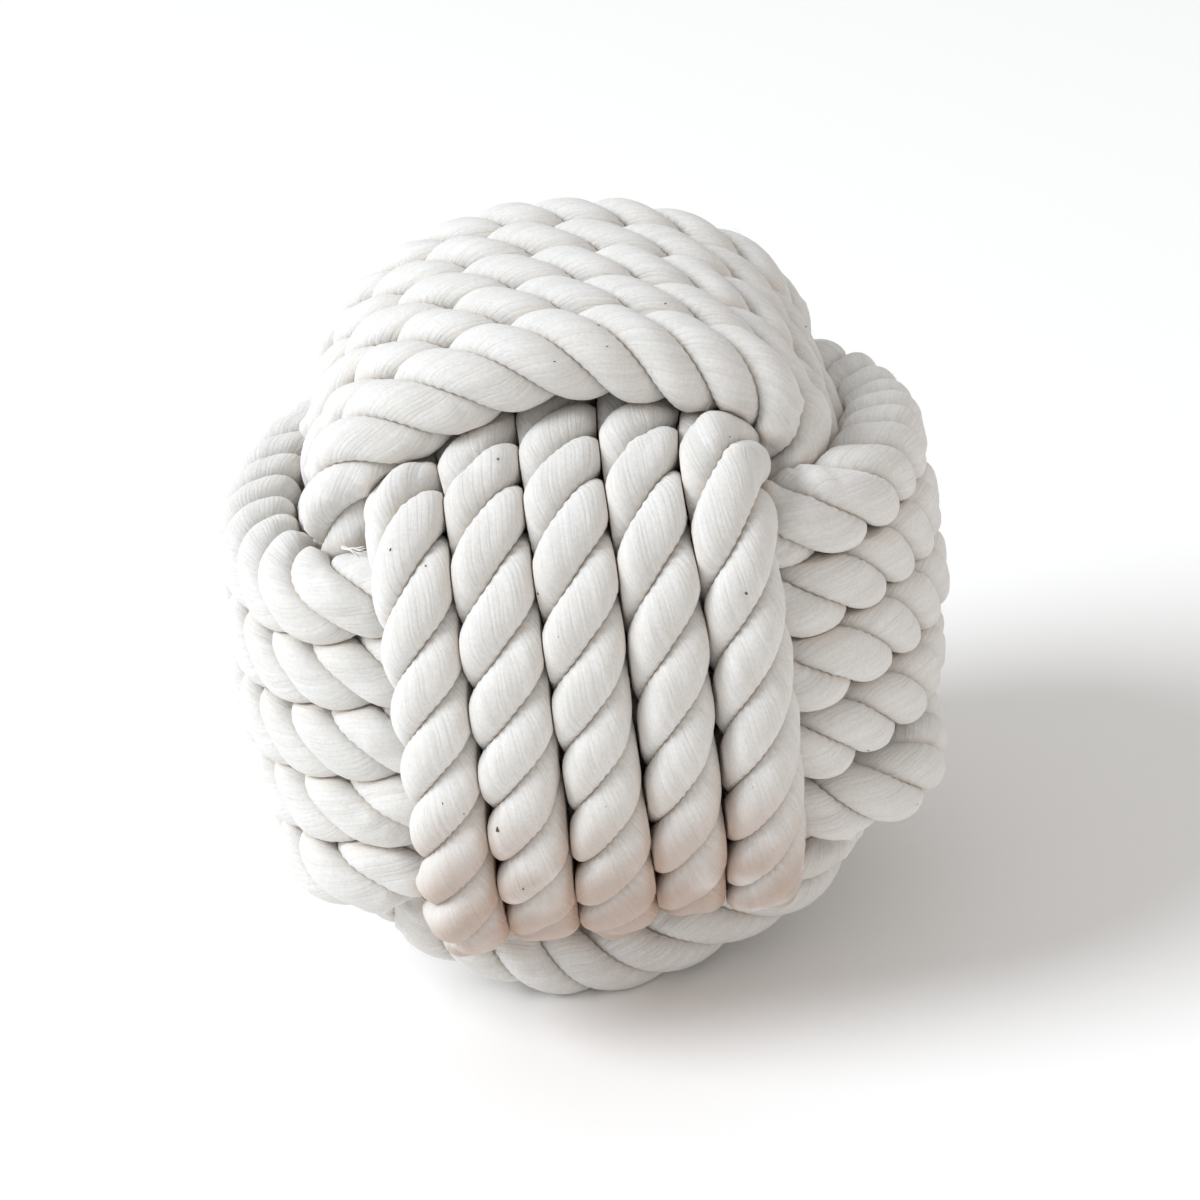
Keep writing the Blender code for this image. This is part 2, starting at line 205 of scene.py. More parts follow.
def with_mark(points, start, stop):
    """adds the running mark along the rope as a fourth column"""
    n = len(points)
    marks = start + (stop - start) * (np.arange(n) + 1) / (n + 1)
    return np.column_stack([points, marks])


def rope_route():
    """The whole rope as (x, y, z, mark).  Marks: 0-5 girdle, 6-11 upright, 12-17 crown turns;
    below 0 and above 17 the tucked ends, 5-6 and 11-12 the runs between the sets."""
    tilt, pitch = math.tan(math.radians(GIRDLE_TILT)), math.tan(math.radians(GIRDLE_PITCH))

    def place_girdle(u, v, lane):
        right = min(max(0.5 + u / 6, 0.0), 1.0)
        slant = pitch * (1 - 0.045 * (2 - lane) ** 2 if v > 0 else 1.0)
        drop = GIRDLE_DROP + GIRDLE_LOW_DROP * min(lane, 0.0) ** 2
        return (u, v, lane * GIRDLE['lane'] + u * tilt - right * (v * slant + drop))

    def place_upright(u, v, lane):
        low = ease((v - 0.8) / 2)
        return (lane * UPRIGHT['lane'] + UPRIGHT_SHIFT - low * (0.08 + 0.04 * lane), u, -v)

    def place_crown(u, v, lane):
        x, z = v, -u
        up = z / CROWN['outer']
        lean = CROWN_TOP_LEAN * up if up > 0 else -CROWN_LOW_LEAN * up
        slope = CROWN_TOP_SLOPE * up if up > 0 else -CROWN_LOW_SLOPE * up
        back = CROWN_LOW['back'] * max(x, 0.0) ** 2 * max(-up, 0.0)
        return (x + lean, lane * CROWN['lane'] + CROWN_SHIFT + back, z + slope * x)

    def girdle_outer(lane, c):
        if c > 0:
            crown = GIRDLE_RIGHT['outer_crown' if lane >= 0 else 'low_crown']
            return GIRDLE_RIGHT['outer'] - crown * lane * lane + 0.03 * min(lane, 0)
        return GIRDLE['outer'] - GIRDLE['outer_crown'] * lane * lane

    def girdle_inner(lane, s, c):
        low_front = lane < 0 and s < 0
        crown = GIRDLE_LOW_FRONT_CROWN if low_front else GIRDLE['inner_crown']
        return GIRDLE['inner'] - crown * lane * lane

    def girdle_fullness(lane, c, s):
        if c > 0:
            return GIRDLE_RIGHT['back_fullness'] if s > 0 else GIRDLE_RIGHT['front_fullness']
        return GIRDLE['fullness']

    def upright_fullness(lane, c, s):
        low_front = s > 0 and c < 0
        return 2.8 - 0.2 * max(lane, 0.0) if low_front else UPRIGHT['fullness']

    def crown_outer(lane, c):
        if c > 0:
            return CROWN_LOW['outer'] - (0.0 if lane < 0 else CROWN_LOW['outer_crown']) * lane * lane
        return CROWN['outer'] - CROWN['outer_crown'] * lane * lane + 0.022 * lane

    def crown_inner(lane, s, c):
        return CROWN['inner'] - (CROWN_BACK_CROWN if lane > 0 and c < 0 else CROWN['inner_crown']) * lane * lane

    def crown_fullness(lane, c, s):
        if c > 0:
            return CROWN_LOW['right_fullness'] if s > 0 else CROWN_LOW['left_fullness']
        return CROWN['fullness'] if s > 0 else CROWN_LEFT_FULLNESS + 0.1 * (lane + 2)

    girdle = winding(2, -1, place_girdle, girdle_fullness, girdle_outer, girdle_inner)
    upright = winding(-2, +1, place_upright, upright_fullness,
                      lambda k, c: UPRIGHT['outer'] - UPRIGHT['outer_crown'] * k * k,
                      lambda k, s, c: UPRIGHT['inner'] - UPRIGHT['inner_crown'] * k * k)
    crown = winding(-2, +1, place_crown, crown_fullness, crown_outer, crown_inner)
    girdle, upright, crown = girdle[:-3], upright[3:-3], crown[3:]
    upright[:, 3] += 6
    crown[:, 3] += 12

    over1 = crossing(girdle, upright, np.array(CORNER_1), np.array((-1.0, -1.0, -0.6)))
    over2 = crossing(upright, crown, np.array(CORNER_2), np.array((0.8, -0.6, 0.5)))
    start = curve_between(np.array((1.6, 2.75, 2.35)), np.array((-1.0, 0.1, 0.0)),
                          girdle[0, :3], np.array((-1.5, 0.0, 0.0)), 10)[:-1]
    end = curve_between(crown[-1, :3], np.array((0.0, 0.0, 1.3)),
                        np.array((2.7, 2.4, 1.3)), np.array((-0.2, 0.05, 0.9)), 10)[1:]
    return np.vstack([with_mark(start, -1, 0), girdle, with_mark(over1, girdle[-1, 3], upright[0, 3]),
                      upright, with_mark(over2, upright[-1, 3], crown[0, 3]), crown,
                      with_mark(end, 17, 18)])


def even_spacing(points, step):
    """the same route with points at equal distances along it"""
    seg = np.linalg.norm(np.diff(points[:, :3], axis=0), axis=1)
    s = np.concatenate([[0.0], np.cumsum(seg)])
    n = int(round(s[-1] / step))
    q = np.linspace(0, s[-1], n + 1)
    return np.stack([np.interp(q, s, points[:, k]) for k in range(points.shape[1])], axis=1), s[-1] / n


def lay_side_by_side(route, step, rounds, clear, core_radius):
    """Eases the route until no two runs lie closer than `clear`, none reaches into the core and
    every bend is fair.  rounds: (count, pull towards the drawn route, fairing)."""
    p = route.copy()
    drawn = route.copy()
    n = len(p)
    apart = int(round(2.4 / step))
    for count, pull, fair in rounds:
        for i in range(count):
            if i % 5 == 0:
                d2 = ((p[:, None, :] - p[None, :, :]) ** 2).sum(2)
                a, b = np.where(np.triu(d2 < (clear + 0.35) ** 2, apart))
            d = p[a] - p[b]
            dist = np.linalg.norm(d, axis=1)
            short = np.clip(clear - dist, 0, None)
            away = d / np.maximum(dist, 1e-6)[:, None] * (short * 0.5)[:, None]
            move = np.zeros_like(p)
            hits = np.zeros(n)
            np.add.at(move, a, away)
            np.add.at(move, b, -away)
            near = short > 0
            np.add.at(hits, a[near], 1)
            np.add.at(hits, b[near], 1)
            move /= np.maximum(hits, 1)[:, None]
            move[1:-1] = 0.25 * move[:-2] + 0.5 * move[1:-1] + 0.25 * move[2:]
            p += move * 1.8
            r = np.linalg.norm(p, axis=1)
            low = r < core_radius + 0.5
            p[low] *= ((core_radius + 0.5) / r[low])[:, None]
            for _ in range(2):
                bow = np.zeros_like(p)
                bow[1:-1] = 0.5 * (p[:-2] + p[2:]) - p[1:-1]
                stiff = np.zeros_like(p)
                stiff[2:-2] = -(bow[1:-3] - 2 * bow[2:-2] + bow[3:-1]) * 0.5
                p += 0.01 * bow + fair * stiff
            along = np.zeros_like(p)
            along[1:-1] = p[2:] - p[:-2]
            along /= np.maximum(np.linalg.norm(along, axis=1), 1e-9)[:, None]
            bow = np.zeros_like(p)
            bow[1:-1] = 0.5 * (p[:-2] + p[2:]) - p[1:-1]
            p += 0.5 * along * (bow * along).sum(1)[:, None]
            p += pull * (drawn - p)
    return p


def finished_route():
    """rope centreline in metres, standing on z = 0, with its marks"""
    drawn, step = even_spacing(rope_route(), 0.25)
    laid = lay_side_by_side(drawn[:, :3], step, [(110, 0.02, 0.22), (90, 0.006, 0.15), (60, 0.0, 0.06)],
                            CLEAR, 2.62)
    route, step = even_spacing(np.column_stack([laid, drawn[:, 3]]), 0.25)
    xyz = route[:, :3] * ROPE_PITCH
    low, high = xyz.min(0), xyz.max(0)
    middle = xyz[(np.abs(route[:, 1]) < 0.3) & (route[:, 2] < -3.9)]
    floor = middle[:, 2].min() - ROPE_DIAMETER / 2 + BASE_FLAT
    shift = np.array((-(low[0] + high[0]) / 2, -(low[1] + high[1]) / 2, -floor))
    return xyz + shift, route[:, 3], shift


# ------------------------------------------------------------------ the rope's own frame
class Rope:
    """centreline at fine steps, in pitches, with a frame that doesn't twist about it"""

    def __init__(self, points, marks, centre):
        self.centre = centre / ROPE_PITCH
        coarse = points / ROPE_PITCH
        self.coarse = coarse
        n = len(coarse)
        fine = int(round((n - 1) * 0.25 / RING_STEP))
        t = np.linspace(0, n - 1, fine + 1)
        self.p = self.spline(coarse, t)
        self.mark = np.interp(t, np.arange(n), marks)
        seg = np.linalg.norm(np.diff(self.p, axis=0), axis=1)
        self.s = np.concatenate([[0.0], np.cumsum(seg)])
        tangent = np.gradient(self.p, axis=0)
        self.t = tangent / np.linalg.norm(tangent, axis=1)[:, None]
        self.n = self.untwisted()
        self.b = np.cross(self.t, self.n)
        self.theta = self.strand_angle()

    @staticmethod
    def spline(points, t):
        """uniform cubic B-spline through the neighbourhood of the points"""
        n = len(points)
        i = np.clip(np.floor(t).astype(int), 0, n - 2)
        f = (t - i)[:, None]
        padded = np.vstack([2 * points[0] - points[1], points, 2 * points[-1] - points[-2]])
        a, b, c, d = padded[i], padded[i + 1], padded[i + 2], padded[np.minimum(i + 3, n + 1)]
        return (a * (1 - f) ** 3 + b * (3 * f ** 3 - 6 * f ** 2 + 4)
                + c * (-3 * f ** 3 + 3 * f ** 2 + 3 * f + 1) + d * f ** 3) / 6

    def untwisted(self):
        """normals carried along the rope by double reflection"""
        p, t = self.p, self.t
        normals = np.zeros_like(p)
        first = np.cross(t[0], (0.3, 0.5, 0.8))
        normals[0] = first / np.linalg.norm(first)
        for i in range(len(p) - 1):
            v1 = p[i + 1] - p[i]
            c1 = v1 @ v1
            rl = normals[i] - (2 / c1) * (v1 @ normals[i]) * v1
            tl = t[i] - (2 / c1) * (v1 @ t[i]) * v1
            v2 = t[i + 1] - tl
            c2 = v2 @ v2
            r = rl if c2 < 1e-12 else rl - (2 / c2) * (v2 @ rl) * v2
            r = r - (r @ t[i + 1]) * t[i + 1]
            normals[i + 1] = r / np.linalg.norm(r)
        return normals

    def outer_passes(self):
        """(ring index at the middle of each outer pass, how its strands lie) along the rope"""
        passes = []
        for first, faces in ((0, ('left', 'right')), (6, ('front', 'back')), (12, ('top', 'bottom'))):
            for k in range(TURNS):
                for face, part in zip(faces, (0.25, 0.75)):
                    i = int(np.argmin(np.abs(self.mark - (first + k + part))))
                    passes.append((i,) + PASSES[face][k])
        return passes

    def strand_angle(self):
        """angle of strand 0 in the untwisted frame at every ring"""
        turn, third = 2 * math.pi, 2 * math.pi / STRANDS
        s = self.s
        theta = np.zeros_like(s)
        end = None
        for i, phase, lay, drift in self.outer_passes():
            out = self.p[i] - self.centre
            out = out - (out @ self.t[i]) * self.t[i]
            middle = math.radians(phase) + math.atan2(out @ self.b[i], out @ self.n[i])
            a, b = s[i] - PASS_HOLD, s[i] + PASS_HOLD

            def there(q):
                return middle + turn * ((q - s[i]) / lay + drift * (q - s[i]) ** 2)

            def rate(q):
                return turn * (1 / lay + 2 * drift * (q - s[i]))

            if end is None:
                lift = 0.0
                before = s < a
                theta[before] = there(a) + (s[before] - a) * turn / LAY
            else:
                s0, v0, r0 = end
                wanted = v0 + (a - s0) * (r0 + rate(a) + turn / LAY) / 3
                lift = third * round((wanted - there(a)) / third)
                gap = (s >= s0) & (s < a)
                f = (s[gap] - s0) / (a - s0)
                span = a - s0
                theta[gap] = ((2 * f ** 3 - 3 * f ** 2 + 1) * v0 + (f ** 3 - 2 * f ** 2 + f) * span * r0
                              + (-2 * f ** 3 + 3 * f ** 2) * (there(a) + lift)
                              + (f ** 3 - f ** 2) * span * rate(a))
            inside = (s >= a) & (s < b)
            theta[inside] = there(s[inside]) + lift
            end = (b, there(b) + lift, rate(b))
        after = s >= end[0]
        theta[after] = end[1] + (s[after] - end[0]) * turn / LAY
        return theta


def wobble(s, seed, period):
    """smooth unhurried variation, about -1 to 1, along the rope"""
    rng = np.random.default_rng(seed)
    out = np.zeros_like(s)
    for i in range(5):
        out += np.sin(2 * math.pi * s / (period * (0.7 + 0.55 * i)) + rng.uniform(0, 6.28)) * 0.55
    return out / 1.4


def strand_section(psi, wide, high):
    """distance from the strand's centre to its skin, for an angle from straight out.
    An oval, kept inside its third of the rope."""
    oval_r = 1.0 / np.sqrt((np.cos(psi) / (STRAND_RADIAL * high)) ** 2
                           + (np.sin(psi) / (STRAND_TANGENT * wide)) ** 2)
    reach = STRAND_OFFSET * math.sin(math.radians(60)) - STRAND_GAP / 2
    inv = oval_r ** -STRAND_ROUND
    for side in (1, -1):
        towards = np.sin(side * psi - math.radians(60))
        inv = inv + (np.clip(towards, 0, None) / reach) ** STRAND_ROUND
    return inv ** (-1.0 / STRAND_ROUND)


def neighbours(rope):
    """For each ring, up to six places where another run of the rope lies close:
    (ring, point, direction) with the point on the other run."""
    step = 4
    j = np.arange(0, len(rope.p), step)
    near = []
    block = 400
    for i0 in range(0, len(rope.p), block):
        i = np.arange(i0, min(i0 + block, len(rope.p)))
        d2 = ((rope.p[i][:, None, :] - rope.p[j][None, :, :]) ** 2).sum(2)
        far = np.abs(rope.s[i][:, None] - rope.s[j][None, :]) > 2.4
        d2 = np.where(far, d2, 99.0)
        dip = np.zeros(d2.shape, bool)
        dip[:, 1:-1] = (d2[:, 1:-1] <= d2[:, :-2]) & (d2[:, 1:-1] < d2[:, 2:])
        dip &= d2 < 1.45 ** 2
        rows, cols = np.where(dip)
        order = np.argsort(d2[rows, cols], kind='stable')
        rows, cols = rows[order], cols[order]
        order = np.argsort(rows, kind='stable')
        rows, cols = rows[order], cols[order]
        rank = np.arange(len(rows)) - np.searchsorted(rows, rows)
        keep = rank < 6
        near.append(np.column_stack([i[rows[keep]], rank[keep], j[cols[keep]]]))
    near = np.vstack(near)
    table = np.full((len(rope.p), 6), -1)
    table[near[:, 0], near[:, 1]] = near[:, 2]
    return table


def slack(verts):
    """gap between two ropes at these places, and how open it is from 0 to 1"""
    gap = np.full(verts.shape[:2], ROPE_GAP)
    open_ = np.zeros(verts.shape[:2])
    for middle, half, amount in SLACK:
        d = (verts * ROPE_PITCH * 1000 - np.array(middle)) / np.array(half)
        near = np.exp(-(d ** 2).sum(2))
        gap += amount * near
        open_ = np.maximum(open_, near)
    return gap, open_


def press(verts, rings, rope, table):
    """keeps the skin of one stretch on its own side of its neighbours, the core and the floor;
    gives how near each vertex lies to a neighbour as well"""
    centre, tangent = rope.p[rings][:, None, :], rope.t[rings][:, None, :]
    own = verts - centre
    own = own - (own * tangent).sum(2, keepdims=True) * tangent
    size = np.linalg.norm(own, axis=2)
    gap, open_ = slack(verts)
    fuller = np.zeros(size.shape)
    facing = np.zeros(size.shape)
    touch = np.zeros(size.shape)
    for slot in range(table.shape[1]):
        j = table[rings, slot]
        has = np.where(j >= 0)[0]
        if not len(has):
            continue
        beside = rope.p[j[has]] - rope.p[rings[has]]
        beside = beside - (beside * rope.t[rings[has]]).sum(1, keepdims=True) * rope.t[rings[has]]
        apart = np.linalg.norm(beside, axis=1)
        c = (own[has] * beside[:, None, :]).sum(2) / np.maximum(apart[:, None] * size[has], 1e-6)
        c = np.clip(c, 0, 1) ** 2
        weight = np.clip((1.22 - apart) / 0.18, 0, 1)[:, None]
        fuller[has] = np.maximum(fuller[has], weight * 4 * c * (1 - c))
        facing[has] = np.maximum(facing[has], weight * c)
    swell = SQUARED * fuller * (1 - open_) - SLACK_LESS * facing * open_
    verts = verts + own * (swell * np.clip(size / 0.5, 0, 1) ** 2)[:, :, None]
    for _ in range(4):
        for slot in range(table.shape[1]):
            j = table[rings, slot]
            has = np.where(j >= 0)[0]
            if not len(has):
                continue
            jj = j[has]
            v = verts[has]
            ahead = ((v - rope.p[jj][:, None, :]) * rope.t[jj][:, None, :]).sum(2) / RING_STEP
            nearest = np.clip(jj[:, None] + np.round(ahead).astype(int), 0, len(rope.p) - 1)
            other, along = rope.p[nearest], rope.t[nearest]
            off = v - other
            off = off - (off * along).sum(2, keepdims=True) * along
            d_other = np.linalg.norm(off, axis=2)
            own = v - rope.p[rings[has]][:, None, :]
            own = own - (own * rope.t[rings[has]][:, None, :]).sum(2, keepdims=True) \
                * rope.t[rings[has]][:, None, :]
            d_own = np.linalg.norm(own, axis=2)
            excess = (d_own - d_other + gap[has]) / 2
            touch[has] = np.maximum(touch[has], np.exp(np.minimum(excess, 0) / 0.055))
            w = 0.006
            push = np.where(excess > 4 * w, excess, w * np.log1p(np.exp(np.clip(excess / w, -30, 30))))
            push = np.where(excess < -4 * w, 0.0, push)
            verts[has] = v + off / np.maximum(d_other, 1e-6)[:, :, None] * push[:, :, None]
    out = verts - rope.centre
    r = np.linalg.norm(out, axis=2)
    least = CORE_DIAMETER / 2 / ROPE_PITCH + 0.01
    verts += out / r[:, :, None] * np.clip(least - r, 0, None)[:, :, None]
    verts[:, :, 2] = np.maximum(verts[:, :, 2], 0.012)
    return verts, touch


def strand_skin(rope, table, i0, i1, k):
    """vertices (rings, columns, 3) of one strand between two rings, in pitches,
    and how deep each lies in the grooves"""
    rings = np.arange(i0, i1 + 1)
    columns = YARNS * YARN_COLUMNS
    s = rope.s[rings][:, None]
    column = np.arange(columns)[None, :]
    psi = 2 * math.pi * column / columns + YARN_TURN * s + 2.1 * k
    psi = (psi + math.pi) % (2 * math.pi) - math.pi
    wide = 1 + 0.025 * wobble(rope.s[rings], 11 + k, 2.3)[:, None]
    high = 1 + 0.030 * wobble(rope.s[rings], 31 + k, 1.9)[:, None]
    r = strand_section(psi, wide, high)
    # yarns: a valley at every third column, with each yarn a little prouder or shyer than the next
    rng = np.random.default_rng(70 + k)
    pride = rng.uniform(0.5, 1.25, YARNS)
    slow = rng.uniform(0, 6.28, YARNS)
    yarn = (column // YARN_COLUMNS) % YARNS
    shape = np.where(column % YARN_COLUMNS == 0, -0.62, 0.31)
    life = np.clip(0.85 + 0.55 * np.sin(s * 2.4 + slow[yarn]) + 0.35 * np.sin(s * 0.83 + slow[yarn] * 3), 0, 2)
    reach = np.hypot(STRAND_OFFSET + r * np.cos(psi), r * np.sin(psi))
    life = life * np.clip((reach - 0.405) / 0.05, 0, 1)
    r = r + YARN_RELIEF * shape * pride[yarn] * life
    r = r + YARN_RELIEF * 0.45 * np.sin(s * 0.9 + slow[yarn] * 2)
    a = rope.theta[rings][:, None] + 2 * math.pi * k / STRANDS
    x = STRAND_OFFSET + r * np.cos(psi)
    y = r * np.sin(psi)
    u = x * np.cos(a) - y * np.sin(a)
    v = x * np.sin(a) + y * np.cos(a)
    depth = np.hypot(x, y)
    n, b = rope.n[rings][:, None, :], rope.b[rings][:, None, :]
    verts = rope.p[rings][:, None, :] + n * u[:, :, None] + b * v[:, :, None]
    verts, touch = press(verts, rings, rope, table)
    return verts, depth, touch


def rope_piece(name, rope, table, i0, i1, material):
    """one length of the rope: three closed strands"""
    columns = YARNS * YARN_COLUMNS
    count = i1 - i0 + 1
    all_verts, all_faces, depths, touches = [], [], [], []
    uv_rope, uv_bake = [], []
    rows = STRANDS * max(1, int(round(math.sqrt((count * RING_STEP) / (STRANDS * 1.65)))))
    per = rows // STRANDS
    cut = np.linspace(0, count - 1, per + 1).round().astype(int)
    base = 0
    for k in range(STRANDS):
        verts, depth, touch = strand_skin(rope, table, i0, i1, k)
        grid = np.arange(count * columns).reshape(count, columns) + base
        nxt = np.roll(grid, -1, axis=1)
        quads = np.stack([grid[:-1], nxt[:-1], nxt[1:], grid[1:]], axis=-1).reshape(-1, 4)
        all_verts.append(verts.reshape(-1, 3))
        all_faces.append(quads)
        depths.append(depth.reshape(-1))
        touches.append(touch.reshape(-1))
        ring = np.repeat(np.arange(count - 1), columns)
        col = np.tile(np.arange(columns), count - 1)
        s0, s1 = rope.s[i0 + ring], rope.s[i0 + ring + 1]
        c0, c1 = col / YARN_COLUMNS, (col + 1) / YARN_COLUMNS
        off = k * 40.0
        uv_rope.append(np.stack([np.stack([s0, c0 + off], -1), np.stack([s0, c1 + off], -1),
                                 np.stack([s1, c1 + off], -1), np.stack([s1, c0 + off], -1)], 1))
        band = np.clip(np.searchsorted(cut, ring, side='right') - 1, 0, per - 1)
        length = max(1, int(np.diff(cut).max()))
        u0 = (ring - cut[band]) / length
        u1 = (ring + 1 - cut[band]) / length
        row = k * per + band
        lo, hi = (row + 0.02) / rows, (row + 0.98) / rows
        v0 = lo + (hi - lo) * col / columns
        v1 = lo + (hi - lo) * (col + 1) / columns
        u0, u1 = 0.004 + 0.992 * u0, 0.004 + 0.992 * u1
        uv_bake.append(np.stack([np.stack([u0, v0], -1), np.stack([u0, v1], -1),
                                 np.stack([u1, v1], -1), np.stack([u1, v0], -1)], 1))
        base += count * columns
    verts = np.vstack(all_verts) * ROPE_PITCH
    quads = np.vstack(all_faces)
    depth = np.concatenate(depths)
    # end discs
    fans, fan_uv, fan_bake, extra, extra_depth = [], [], [], [], []
    for k in range(STRANDS):
        start = k * count * columns
        for end, flip in ((0, True), (count - 1, False)):
            ring = np.arange(columns) + start + end * columns
            middle = len(verts) + len(extra)
            extra.append(verts[ring].mean(0))
            extra_depth.append(0.3)
            nxt = np.roll(ring, -1)
            tri = np.stack([nxt, ring, np.full(columns, middle)] if flip
                           else [ring, nxt, np.full(columns, middle)], -1)
            fans.append(tri)
    tris = np.vstack(fans)
    verts = np.vstack([verts, extra])
    depth = np.concatenate([depth, extra_depth])
    touch = np.concatenate([*touches, np.ones(len(extra))])

    mesh = bpy.data.meshes.new(name)
    nq, nt = len(quads), len(tris)
    mesh.vertices.add(len(verts))
    mesh.vertices.foreach_set('co', verts.astype(np.float32).ravel())
    mesh.loops.add(nq * 4 + nt * 3)
    mesh.loops.foreach_set('vertex_index', np.concatenate([quads.ravel(), tris.ravel()]).astype(np.int32))
    mesh.polygons.add(nq + nt)
    starts = np.concatenate([np.arange(nq) * 4, nq * 4 + np.arange(nt) * 3])
    mesh.polygons.foreach_set('loop_start', starts.astype(np.int32))
    mesh.update(calc_edges=True)
    mesh.shade_smooth()

    tri_uv = np.zeros((nt, 3, 2))
    layer = mesh.uv_layers.new(name='RopeUV')
    layer.data.foreach_set('uv', np.concatenate([np.vstack(uv_rope).reshape(-1, 2),
                                                 tri_uv.reshape(-1, 2)]).astype(np.float32).ravel())
    tri_bake = np.full((nt, 3, 2), 0.0005) + np.array([[0, 0], [0.001, 0], [0, 0.001]])[None]
    layer = mesh.uv_layers.new(name='OFBake')
    layer.data.foreach_set('uv', np.concatenate([np.vstack(uv_bake).reshape(-1, 2),
                                                 tri_bake.reshape(-1, 2)]).astype(np.float32).ravel())
    # painted shade: 'groove' is how deep a vertex lies between the strands, used for darker colour there
    groove = mesh.attributes.new('groove', 'FLOAT', 'POINT')
    deep = np.clip((0.475 - depth) / 0.10, 0, 1)
    groove.data.foreach_set('value', deep.astype(np.float32))
    # painted shade: 'beside' is how near a vertex lies to a neighbouring run, used for darker colour there
    beside = mesh.attributes.new('beside', 'FLOAT', 'POINT')
    beside.data.foreach_set('value', touch.astype(np.float32))
    # painted shade and warm bounce light: this attribute marks the low front of the upright turns
    low_front_shade = mesh.attributes.new('low_front_shade', 'FLOAT', 'POINT')
    amount = np.zeros(len(verts))
    if 'upright_turn' in name:
        low = np.clip((0.100 - verts[:, 2]) / 0.050, 0, 1)
        front = np.clip((-verts[:, 1] - 0.030) / 0.025, 0, 1)
        amount = low * low * (3 - 2 * low) * front * front * (3 - 2 * front)
    low_front_shade.data.foreach_set('value', amount.astype(np.float32))
    mesh.materials.append(material)
    obj = bpy.data.objects.new(name, mesh)
    bpy.context.scene.collection.objects.link(obj)
    return obj


# ------------------------------------------------------------------ materials
class Nodes:
    """short hand for building a node tree"""

    def __init__(self, material):
        material.use_nodes = True
        self.tree = material.node_tree
        self.bsdf = self.tree.nodes['Principled BSDF']

    def add(self, kind, **settings):
        node = self.tree.nodes.new(kind)
        for key, value in settings.items():
            if key.startswith('in_'):
                sock = key[3:]
                sock = int(sock) if sock.isdigit() else sock.replace('_', ' ')
                node.inputs[sock].default_value = value
            else:
                setattr(node, key, value)
        return node

    def link(self, a, b):
        self.tree.links.new(a, b)

    def math(self, op, a, b=None, clamp=False):
        node = self.add('ShaderNodeMath', operation=op, use_clamp=clamp)
        for i, v in enumerate((a, b)):
            if v is None:
                continue
            if isinstance(v, (int, float)):
                node.inputs[i].default_value = v
            else:
                self.link(v, node.inputs[i])
        return node.outputs[0]

    def mix(self, fac, a, b, blend='MIX'):
        node = self.add('ShaderNodeMix', data_type='RGBA', blend_type=blend)
        for sock, v in ((node.inputs['Factor'], fac), (node.inputs['A'], a), (node.inputs['B'], b)):
            pass
        fac_in = [i for i in node.inputs if i.name == 'Factor' and i.type == 'VALUE'][0]
        a_in = [i for i in node.inputs if i.name == 'A' and i.type == 'RGBA'][0]
        b_in = [i for i in node.inputs if i.name == 'B' and i.type == 'RGBA'][0]
        for sock, v in ((fac_in, fac), (a_in, a), (b_in, b)):
            if isinstance(v, (int, float)):
                sock.default_value = v
            elif isinstance(v, tuple):
                sock.default_value = (*v, 1.0)
            else:
                self.link(v, sock)
        return [o for o in node.outputs if o.type == 'RGBA'][0]

    def ramp(self, value, low, high):
        node = self.add('ShaderNodeMapRange', interpolation_type='SMOOTHSTEP')
        node.inputs['From Min'].default_value = low
        node.inputs['From Max'].default_value = high
        self.link(value, node.inputs['Value'])
        return node.outputs['Result']


